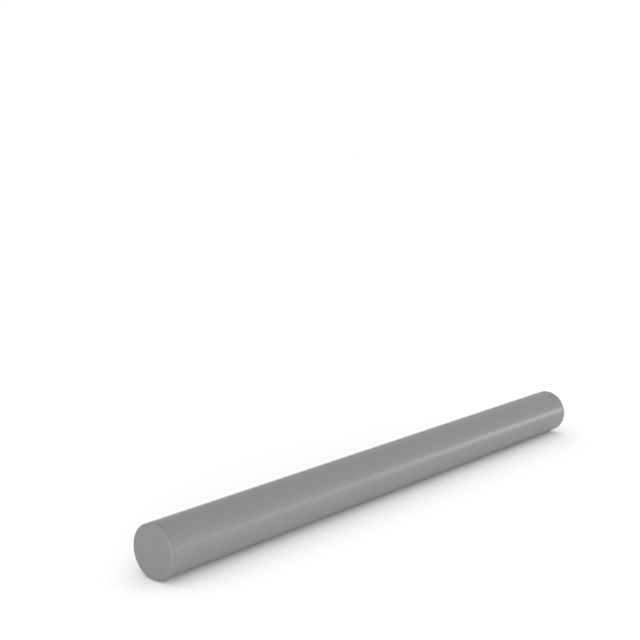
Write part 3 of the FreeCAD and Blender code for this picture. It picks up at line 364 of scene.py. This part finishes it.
def makeCloth(setup):
    # place x along the bar and distance s round it from the top seam. Near all four edges the radius falls
    # by a quarter circle, as cloth does where it goes round a frame's edge
    first = math.radians(setup["seamTop"])
    arc = barRadius * math.radians(setup["seamBottom"] - setup["seamTop"])
    roll, length = setup["edgeRoll"], 2 * clothHalf

    def steps(whole, count):
        edge = roll * (1 - np.cos(np.linspace(0, math.pi / 2, setup["stepsRoll"])))
        return np.concatenate([edge, np.linspace(roll, whole - roll, count)[1:-1], whole - edge[::-1]])

    alongSteps, aroundSteps = steps(length, setup["stepsAlong"]), steps(arc, setup["stepsAround"])
    x, s = np.meshgrid(alongSteps, aroundSteps, indexing="ij")
    inwards = roll - np.minimum(np.minimum(x, length - x), np.minimum(s, arc - s))
    sink = roll - np.sqrt(roll**2 - np.clip(inwards, 0, roll) ** 2)
    angle, radius = first + s / barRadius, barRadius - sink
    points = np.stack([x - clothHalf, radius * np.cos(angle), axisZ + radius * np.sin(angle)], axis=-1)
    mesh = gridMesh("grilleCloth", points, flatMap=np.stack([x, s], axis=-1))
    piece = addPiece("grilleCloth", mesh, clothPaint(setup), "grille_cloth")
    thicken(piece, setup["thickness"], -1)


# Moulded plastic parts.

plasticSetup = {
    # colour, roughness, size of the grain and its depth
    "endCapPlastic": ((0.186, 0.186, 0.187), 0.45, 0.30 * mm, 0.006 * mm),
    "rearShellPlastic": ((0.195, 0.195, 0.197), 0.52, 0.45 * mm, 0.015 * mm),
    "keyPlastic": ((0.16, 0.16, 0.162), 0.38, 0.25 * mm, 0.004 * mm),
    "panelPlastic": ((0.045, 0.045, 0.048), 0.5, 0.4 * mm, 0.012 * mm),
    "framePlastic": ((0.05, 0.05, 0.054), 0.48, 0.8 * mm, 0.02 * mm),
    "socketPlastic": ((0.018, 0.018, 0.019), 0.35, 0.2 * mm, 0.004 * mm),
    "partPlastic": ((0.028, 0.028, 0.03), 0.42, 0.3 * mm, 0.006 * mm),
}
plasticCloud = 35 * mm  # size of the faint clouds


def plasticPaint(name, markColor=None, mark=None):
    # fine even grain from the mould, faint clouds in tone and gloss, and a printed sign where one is given
    plainColor, plainRough, grainSize, depth = plasticSetup[name]
    paint = Paint(name if mark is None else mark.__name__ + "Plastic", plainColor, plainRough)
    x, y, z = paint.coordinates()
    grain = paint.noise(grainSize, 3)
    cloudy = paint.noise(plasticCloud, 3)
    color = paint.tint(plainColor, cloudy.over(0.975, 1.025) * grain.over(0.985, 1.015))
    rough = (grain * 0.4 + cloudy * 0.6).over(plainRough - 0.06, plainRough + 0.06)
    if mark is not None:
        color = paint.mix(mark(x, y, z), color, markColor)
    return paint.paintWith(color, rough, grain, depth)


# End caps. The left one is a profile turned about the barrel's axis.

capSetup = {
    "skirt": 5 * mm,
    "rim": 2.2 * mm,
    "lip": 0.2 * mm,  # small round at the skirt's back edge
    "spigotRadius": 35.8 * mm,
    "spigotEnd": 14 * mm,
    "spigotWall": 2.0 * mm,
    "disc": 3.0 * mm,
    "stepsFace": 12,
    "stepsRound": 10,
    "stepsAround": 192,
}


def makeLeftCap(setup):
    # depth from the end face and radius from the axis, along the face, the quarter-round rim, the skirt, its
    # lip, the spigot and the inside face
    bend, flat = np.linspace(0, math.pi / 2, setup["stepsRound"]), setup["stepsFace"]
    rim, skirt, lip, end = setup["rim"], setup["skirt"], setup["lip"], setup["spigotEnd"]
    outside, inside = setup["spigotRadius"], setup["spigotRadius"] - setup["spigotWall"]
    depth = [np.zeros(flat), rim * (1 - np.cos(bend[1:])), skirt - lip + lip * np.sin(bend)]
    radius = [np.linspace(0, barRadius - rim, flat), barRadius - rim + rim * np.sin(bend[1:])]
    radius.append(barRadius - lip + lip * np.cos(bend))
    depth.append([skirt, end - lip, end, end, setup["disc"], setup["disc"]])
    radius.append([outside, outside, outside - lip, inside, inside, 0])
    depth, radius = np.concatenate(depth)[:, None], np.concatenate(radius)[:, None]
    turn = np.linspace(0, 2 * math.pi, setup["stepsAround"], endpoint=False)[None, :]
    x = depth - barHalf + 0 * turn
    points = np.stack([x, radius * np.cos(turn), axisZ + radius * np.sin(turn)], axis=-1)
    mesh = closeMesh(gridMesh("leftEndCap", points, closed=True))
    mesh.set_sharp_from_angle(angle=sharpAngle)
    addPiece("leftEndCap", mesh, plasticPaint("endCapPlastic"), "left_end_cap")


# Parts whose CAD shape is right but whose edges are knife sharp: a copy gets its edges broken.

softEdges = {
    # piece name, width of the broken edge, finish (none where socketSetup has it) and slot
    "right_end_cap": ("rightEndCap", 0.25 * mm, "endCapPlastic", "grey_plastic"),
    "rear_shell": ("rearShell", 0.3 * mm, "rearShellPlastic", "grey_plastic"),
    "io_panel": ("connectorPanel", 0.15 * mm, "panelPlastic", "socket_plastic"),
    "mains_inlet": ("mainsInlet", 0.25 * mm, None, "socket_plastic"),
    "optical_socket": ("opticalSocket", 0.12 * mm, "socketPlastic", "socket_plastic"),
    "aux_socket": ("auxSocket", 0.15 * mm, None, "socket_plastic"),
    "hdmi_socket": ("hdmiSocket", 0.1 * mm, None, "steel"),
    "usb_socket": ("usbSocket", 0.1 * mm, None, "steel"),
    "rubber_feet": ("footPads", 0.5 * mm, "footRubber", "foot_rubber"),
}


socketSetup = {
    # finish of the body and of what is set into it, and where that is from the middle of the box's lower
    # edge: a tongue of some half width between two heights, or round pins at one height
    "hdmi_socket": {
        "finishes": ("zincSteel", "tongueBlack"),
        "half": 5.5 * mm,
        "between": (2.5 * mm, 3.7 * mm),
    },
    "usb_socket": {
        "finishes": ("zincSteel", "tongueWhite"),
        "half": 5.7 * mm,
        "between": (3.3 * mm, 5.3 * mm),
    },
    "mains_inlet": {
        "finishes": ("plastic", "tinnedBrass"),
        "pins": (-4.3 * mm, 4.3 * mm),
        "height": 7.25 * mm,
        "radius": 1.3 * mm,
    },
    "aux_socket": {
        "finishes": ("plastic", "tinnedBrass"),
        "pins": (0.0,),
        "height": 3.7 * mm,
        "radius": 2.5 * mm,
    },
}
socketFinishes = {
    # colour, roughness and how metallic
    "zincSteel": ((0.56, 0.56, 0.57), 0.34, 1.0),
    "tinnedBrass": ((0.72, 0.70, 0.64), 0.26, 1.0),
    "plastic": ((0.018, 0.018, 0.019), 0.35, 0.0),
    "tongueBlack": ((0.02, 0.02, 0.021), 0.5, 0.0),
    "tongueWhite": ((0.5, 0.5, 0.48), 0.45, 0.0),
}


def socketPaint(node):
    # one finish for the body and another for its tongue or pins, told apart by their places
    setup = socketSetup[node]
    low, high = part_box(node)
    middle = (low.x + high.x) / 2
    body, inner = setup["finishes"]
    bodyColor, bodyRough, bodyMetal = socketFinishes[body]
    color, rough, metal = socketFinishes[inner]
    paint = Paint(node + "Finish", bodyColor, bodyRough, metallic=bodyMetal)
    x, y, z = paint.coordinates()
    grain = paint.noise(0.3 * mm, 3)
    if "pins" in setup:
        inset = 0
        for pin in setup["pins"]:
            across, up = x - (middle + pin), z - (low.z + setup["height"])
            inset = ((across * across + up * up) ** 0.5 < setup["radius"]) + inset
    else:
        bottom, top = setup["between"]
        inset = near(x - middle, setup["half"]) * near(z - (low.z + (bottom + top) / 2), (top - bottom) / 2)
    color = paint.tint(paint.mix(inset, bodyColor, color), grain.over(0.94, 1.04))
    rough = inset.over(bodyRough, rough) + grain.over(-0.06, 0.06)
    return paint.paintWith(color, rough, grain, 0.005 * mm, inset.over(bodyMetal, metal))


def makeSoftEdges(node, piece, width, finish, slot):
    # the copy's loose triangles are joined, flat faces become one, and its sharp edges are rounded
    loops = nodes[node].data.loops
    corners = np.empty(len(loops), np.int32)
    loops.foreach_get("vertex_index", corners)
    mesh = bpy.data.meshes.new(piece)
    mesh.from_pydata(nodePoints(node), [], corners.reshape(-1, 3))
    work = bmesh.new()
    work.from_mesh(mesh)
    bmesh.ops.remove_doubles(work, verts=work.verts, dist=1e-6)
    bmesh.ops.dissolve_limit(work, angle_limit=flatAngle, verts=work.verts, edges=work.edges)
    work.to_mesh(mesh)
    work.free()
    mesh.polygons.foreach_set("use_smooth", np.ones(len(mesh.polygons), bool))
    mesh.set_sharp_from_angle(angle=sharpAngle)
    material = finishFor(finish) if finish else socketPaint(node)
    made = addPiece(piece, mesh, material, node)
    edges = made.modifiers.new("edges", "BEVEL")
    edges.width = width
    edges.segments = 2
    edges.limit_method = "ANGLE"
    edges.angle_limit = sharpAngle
    edges.harden_normals = True


# Keys, each with a plain printed sign.

signSetup = {
    "color": (0.62, 0.62, 0.62),
    "line": 0.28 * mm,  # half the width of a line
    "reach": 2.1 * mm,  # half the length of the plus and minus strokes, and half the source box's height
    "ring": 2.6 * mm,  # radius of the power ring
    "gap": 0.9 * mm,  # half the ring's gap
    "stroke": (2.4 * mm, 1.3 * mm),  # middle and half length of the stroke in the gap
    "shaft": (-0.9 * mm, 1.5 * mm),  # the same for the source arrow's shaft
    "head": (1.1 * mm, 0.9 * mm),  # tip and half height of its head
    "box": (0.8 * mm, 1.5 * mm),  # middle and half width of its box
    "triangle": (-2.4 * mm, 0.3 * mm),  # base and tip of the play triangle
    "slope": 0.6,
    "bars": (1.1 * mm, 2.2 * mm),  # middles of the two bars
    "barHeight": 1.6 * mm,  # half of it
}


def near(a, half):
    return abs(a) < half


def signs(name):
    low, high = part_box(name)
    middleY, middleZ = (low.y + high.y) / 2, (low.z + high.z) / 2
    line, reach = signSetup["line"], signSetup["reach"]

    def powerSign(x, y, z):
        # ring with a gap at the top, and a stroke in the gap
        y, z = y - middleY, z - middleZ
        r = (y * y + z * z) ** 0.5
        gap = near(y, signSetup["gap"]) * (z > 0)
        middle, half = signSetup["stroke"]
        return near(r - signSetup["ring"], line) * (1 - gap) | near(y, line) * near(z - middle, half)

    def plusSign(x, y, z):
        y, z = y - middleY, z - middleZ
        return near(y, reach) * near(z, line) | near(z, reach) * near(y, line)

    def minusSign(x, y, z):
        return near(y - middleY, reach) * near(z - middleZ, line)

    def sourceSign(x, y, z):
        # arrow going into an open box
        y, z = y - middleY, z - middleZ
        middle, half = signSetup["shaft"]
        shaft = near(y - middle, half) * near(z, line)
        tip, headHalf = signSetup["head"]
        head = (abs(z) < (tip - y)) * (y > 0)
        middle, half = signSetup["box"]
        box = near(y - middle, half) * near(z, reach)
        hollow = near(y - middle + 2 * line, half) * near(z, reach - 2 * line)
        return shaft | head * near(z, headHalf) | box * (1 - hollow) * (y > -0.1 * mm)

    def playSign(x, y, z):
        # triangle, then two bars
        y, z = y - middleY, z - middleZ
        base, tip = signSetup["triangle"]
        triangle = (abs(z) < (tip - y) * signSetup["slope"]) * (y > base)
        first, second = signSetup["bars"]
        bars = near(y - first, line) | near(y - second, line)
        return triangle | near(z, signSetup["barHeight"]) * bars

    return {
        "power_key": powerSign,
        "volume_up_key": plusSign,
        "volume_down_key": minusSign,
        "source_key": sourceSign,
        "play_key": playSign,
    }[name]


# Metals, rubbers, paper, cloths, foam and boards.

metalSetup = {
    "zincSteel": {"color": (0.56, 0.56, 0.57), "roughness": 0.34, "brush": (0.04, 1.0, 1.0)},
    "screwSteel": {"color": (0.16, 0.16, 0.165), "roughness": 0.4, "brush": (1.0, 1.0, 1.0)},
    "insertBrass": {"color": (0.76, 0.57, 0.28), "roughness": 0.3, "brush": (1.0, 0.1, 1.0)},
    "sinkAluminium": {"color": (0.62, 0.62, 0.64), "roughness": 0.42, "brush": (0.05, 1.0, 1.0)},
}
brushLine = 0.25 * mm
metalStain = 6 * mm


def metalPaint(name):
    # fine brush lines, drawn out along the direction whose number is small, and faint stains
    setup = metalSetup[name]
    paint = Paint(name, setup["color"], setup["roughness"], metallic=1.0)
    x, y, z = paint.coordinates()
    along, across, up = setup["brush"]
    lines = paint.noise(brushLine, 3, paint.spread(x * along, y * across, z * up))
    stain = paint.noise(metalStain, 4)
    color = paint.tint(setup["color"], lines.over(0.92, 1.06) * stain.over(0.93, 1.05))
    rough = (lines * 0.6 + stain * 0.4).over(setup["roughness"] - 0.1, setup["roughness"] + 0.12)
    return paint.paintWith(color, rough, lines, 0.008 * mm)


softSetup = {
    # colour, roughness, size of a lump, its rise, and how far the tone (painted shade in the pits, and dust)
    # goes either way
    "footRubber": ((0.032, 0.032, 0.033), 0.82, 0.35 * mm, 0.03 * mm, 0.18),
    "rollRubber": ((0.022, 0.022, 0.023), 0.55, 0.5 * mm, 0.01 * mm, 0.12),
    "gasketFoam": ((0.05, 0.05, 0.052), 0.95, 0.6 * mm, 0.15 * mm, 0.35),
    "wireSleeve": ((0.03, 0.03, 0.034), 0.45, 1.5 * mm, 0.01 * mm, 0.15),
}
dustPatch = 9 * mm


def softPaint(name):
    # rubber and foam: open pits between lumps, darkened with painted shade, and dust in the tone
    plainColor, plainRough, lump, rise, tone = softSetup[name]
    paint = Paint(name, plainColor, plainRough)
    paint.coordinates()
    pits = paint.cells(lump)
    dust = paint.noise(dustPatch, 4)
    # the pits are darker: painted shade; the dust patches are the material's own tone
    color = paint.tint(plainColor, pits.over(1 + tone, 1 - tone) * dust.over(1 - tone / 2, 1 + tone / 2))
    return paint.paintWith(color, dust.over(plainRough - 0.06, plainRough + 0.05), 1 - pits, rise)


paperSetup = {
    "color": (0.045, 0.045, 0.048),
    "fibre": 0.7 * mm,
    "draw": 0.25,  # the fibres are drawn out to one over this
    "pulp": 5 * mm,
    "rise": 0.06 * mm,
}


def conePaint(name):
    # pressed paper pulp: fibres drawn out along both directions of the sheet; their tone is partly the
    # fibres' own and partly painted shade, darker in the hollows
    setup = paperSetup
    paint = Paint(name, setup["color"], 0.8)
    x, y, z = paint.coordinates()
    level = paint.noise(setup["fibre"], 4, paint.spread(x * setup["draw"], y, z))
    upright = paint.noise(setup["fibre"], 4, paint.spread(x, y, z * setup["draw"]))
    fibres = level * 0.5 + upright * 0.5
    pulp = paint.noise(setup["pulp"], 3)
    # low fibres are darker: painted shade in the hollows, over the fibres' own tone
    color = paint.tint(setup["color"], fibres.over(0.6, 1.5) * pulp.over(0.9, 1.1))
    return paint.paintWith(color, fibres.over(0.72, 0.9), fibres, setup["rise"])


spiderSetup = {"color": (0.5, 0.34, 0.14), "thread": 0.9 * mm, "rise": 0.12 * mm, "resin": 3 * mm}


def spiderPaint(name):
    # woven cloth dipped in resin: sine arches along x and z
    setup = spiderSetup
    paint = Paint(name, setup["color"], 0.75)
    x, y, z = paint.coordinates()
    turn = math.pi / setup["thread"]
    warp, weft = (x * turn).math("SINE"), (z * turn).math("SINE")
    onTop = warp * weft * 0.5 + 0.5
    height = abs(warp) * onTop + abs(weft) * (1 - onTop)
    resin = paint.noise(setup["resin"], 3)
    # the weave's low places are darker: painted shade between the threads; the resin patches are the cloth's
    # own tone
    color = paint.tint(setup["color"], height.over(0.65, 1.15) * resin.over(0.85, 1.15))
    return paint.paintWith(color, resin.over(0.6, 0.85), height, setup["rise"])


boardSetup = {
    "mask": (0.016, 0.12, 0.055),
    "copper": (0.03, 0.20, 0.09),  # copper seen through the green mask
    "tin": (0.66, 0.66, 0.64),
    "track": 0.3 * mm,
    "pitch": 2.54 * mm,
    "pad": 0.035,  # square of a pad's radius over the pitch
    "emptyShare": 0.62,  # pads are left out below this
}


def boardPaint(name, first, second):
    # green mask over tracks that run in steps along both directions of the board, with tinned pads on a grid
    setup = boardSetup
    paint = Paint(name, setup["mask"], 0.35)
    axes = paint.coordinates()
    a, b = axes[first], axes[second]
    shift = paint.noise(9 * mm, 0, paint.spread(a, 0.0, 0.0)).math("SNAP", 0.08) * 0.06
    pitch = setup["pitch"]
    lane = ((b + shift) / (pitch / 2)).math("FRACT") - 0.5
    turnLane = ((a + shift) / (pitch * 4)).math("FRACT") - 0.5
    tracks = near(lane, setup["track"] / pitch) | near(turnLane, setup["track"] / pitch / 8)
    inPad = ((a / pitch).math("FRACT") - 0.5) ** 2 + ((b / pitch).math("FRACT") - 0.5) ** 2
    placed = paint.cells(pitch * 2.5, place=paint.spread(a, b, 0.0)) > setup["emptyShare"]
    pads = (inPad < setup["pad"]) * placed
    color = paint.mix(pads, paint.mix(tracks, setup["mask"], setup["copper"]), setup["tin"])
    return paint.paintWith(color, pads.over(0.35, 0.28), tracks | pads, 0.03 * mm)


# Damping wool: four wads, each a box rounded off by a power of the sphere's two angles, with soft lumps.

woolSetup = {
    "color": (0.74, 0.73, 0.69),
    "fibre": 0.5 * mm,
    "clump": 6 * mm,
    "fibreRise": 0.3 * mm,
    "fullness": 0.35,
    "inset": 0.3 * mm,
    "lump": 0.35 * mm,
    "waves": (3.1 * mm, 2.7 * mm, 7 * mm),  # lengths of the lumps' sines over their turn
    "stepsAround": 72,
    "stepsOver": 36,
}


def woolPaint(setup):
    # loose white fibre: fine bent noise over soft clumps
    paint = Paint("dampingWool", setup["color"], 0.95, specular=0.2)
    x, y, z = paint.coordinates()
    strands = paint.noise(setup["fibre"], 5, paint.spread(x * 0.3 + z * 0.4, y, z - x * 0.4))
    clumps = paint.noise(setup["clump"], 3)
    color = paint.tint(setup["color"], strands.over(0.8, 1.1) * clumps.over(0.9, 1.06))
    return paint.paintWith(color, strands.over(0.88, 1.0), strands, setup["fibreRise"])


def makeWool(setup):
    boxes = nodePoints("damping_pads").reshape(-1, 24, 3)  # three points at each of a box's eight corners
    over, around = np.meshgrid(
        np.linspace(-math.pi / 2, math.pi / 2, setup["stepsOver"]),
        np.linspace(-math.pi, math.pi, setup["stepsAround"], endpoint=False),
        indexing="ij",
    )

    def full(value):
        return np.sign(value) * np.abs(value) ** setup["fullness"]

    wide, deep = full(np.cos(over)), full(np.sin(over))
    unit = np.stack([wide * full(np.cos(around)), deep, wide * full(np.sin(around))], axis=-1)
    first, second, slow = setup["waves"]
    wads = bmesh.new()
    for box in boxes:
        low, high = box.min(axis=0) + setup["inset"], box.max(axis=0) - setup["inset"]
        middle, half = (low + high) / 2, (high - low) / 2
        place = middle + unit * (half - setup["lump"])
        x, z = place[..., 0], place[..., 2]
        lumps = np.sin(x / first) * np.sin(z / second + x / slow)
        place = place + unit * (setup["lump"] * lumps[..., None])
        wads.from_mesh(closeMesh(gridMesh("wad", place, closed=True)))
    mesh = bpy.data.meshes.new("dampingWool")
    wads.to_mesh(mesh)
    wads.free()
    mesh.polygons.foreach_set("use_smooth", np.ones(len(mesh.polygons), bool))
    piece = addPiece("dampingWool", mesh, woolPaint(setup), "damping_pads")


# Rubber surrounds: a roll between each ring and the edge of its cone or plate, its outer edge on the ring
# and its inner edge on the cone. It is in two halves that meet at the roll's crest; neither half is attached
# to a body.

drivers = ["left_outer", "left_inner", "right_inner", "right_outer"]
surroundSetup = {
    "lip": 0.8 * mm,
    "thickness": 0.4 * mm,
    "stepsLip": 4,
    "stepsRoll": 14,
    "stepsAround": 120,
}


def makeSurround(node, setup):
    # distance across the roll and rise in front of the lips: flat lip, then a squared sine to the crest
    points = nodePoints(node)
    low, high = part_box(node)
    x, z, outer = (low.x + high.x) / 2, (low.z + high.z) / 2, (high.x - low.x) / 2
    inner = np.hypot(points[:, 0] - x, points[:, 2] - z).min()
    level, rise = high.y - setup["thickness"] / 2, high.y - low.y - setup["thickness"]
    lip = np.linspace(0, setup["lip"], setup["stepsLip"])[:-1]
    share = np.linspace(0, 0.5, setup["stepsRoll"])
    across = np.concatenate([lip, setup["lip"] + (outer - inner - 2 * setup["lip"]) * share])[:, None]
    y = level - np.concatenate([0 * lip, rise * np.sin(math.pi * share) ** 2])[:, None]
    turn = np.linspace(0, 2 * math.pi, setup["stepsAround"], endpoint=False)[None, :]
    material = softPaint("rollRubber")
    for half, radius, sign in (("Outer", outer - across, 1), ("Inner", inner + across, -1)):
        places = np.stack([x + radius * np.cos(turn), y + 0 * turn, z + radius * np.sin(turn)], axis=-1)
        first, *others = node.split("_")
        name = first + "".join(word.capitalize() for word in others) + half
        mesh = gridMesh(name, places[::-sign], closed=True)
        piece = addPiece(name, mesh, material, node, bends=True)
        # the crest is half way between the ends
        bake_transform(piece)
        thicken(piece, setup["thickness"], 0)


# Which finish each carried-over part gets.

finishes = {
    "framePlastic": ["grille_frame", "front_baffle", "left_chamber", "right_chamber"]
    + ["radiator_rings", "board_tray"]
    + [name + "_driver_basket" for name in drivers],
    "zincSteel": [name + "_driver_motor" for name in drivers],
    "screwSteel": ["case_screws", "driver_screws", "board_screws"],
    "insertBrass": ["bracket_inserts"],
    "sinkAluminium": ["heat_sink"],
    "gasketFoam": ["chamber_gaskets"],
    "wireSleeve": ["wiring_harness"],
    "conePaper": [name + "_driver_cone" for name in drivers]
    + ["left_radiator_plate", "right_radiator_plate"],
    "spiderCloth": ["spiders"],
    "flatBoard": ["main_board", "power_board"],
    "frontBoard": ["indicator_board"],
    "endBoard": ["control_board"],
    "partPlastic": ["tact_switches", "board_modules", "power_components"],
    "socketPlastic": ["optical_shutter"],
}


def finishFor(name):
    if name in plasticSetup:
        return plasticPaint(name)
    if name in metalSetup:
        return metalPaint(name)
    if name in softSetup:
        return softPaint(name)
    return {
        "conePaper": lambda: conePaint(name),
        "spiderCloth": lambda: spiderPaint(name),
        "flatBoard": lambda: boardPaint(name, 0, 1),
        "frontBoard": lambda: boardPaint(name, 0, 2),
        "endBoard": lambda: boardPaint(name, 1, 2),
    }[name]()


def wear(node, material):
    node.data.materials.clear()
    node.data.materials.append(material)


makeCamera(cameraSetup)
makeStudio(studioSetup)
print("camera, lamps and floor made")
makeCloth(clothSetup)
makeLeftCap(capSetup)
print("cloth and left end made")
for node, choice in softEdges.items():
    makeSoftEdges(node, *choice)
print("edges broken on", len(softEdges), "parts")
makeWool(woolSetup)
print("damping wool made")
for name in drivers:
    makeSurround(name + "_driver_surround", surroundSetup)
for side in ("left", "right"):
    makeSurround(side + "_radiator_surround", surroundSetup)
print("rubber surrounds made")
for name, members in finishes.items():
    material = finishFor(name)
    for member in members:
        wear(nodes[member], material)
for name in ("power_key", "volume_up_key", "volume_down_key", "source_key", "play_key"):
    wear(nodes[name], plasticPaint("keyPlastic", signSetup["color"], signs(name)))
print("finishes put on")
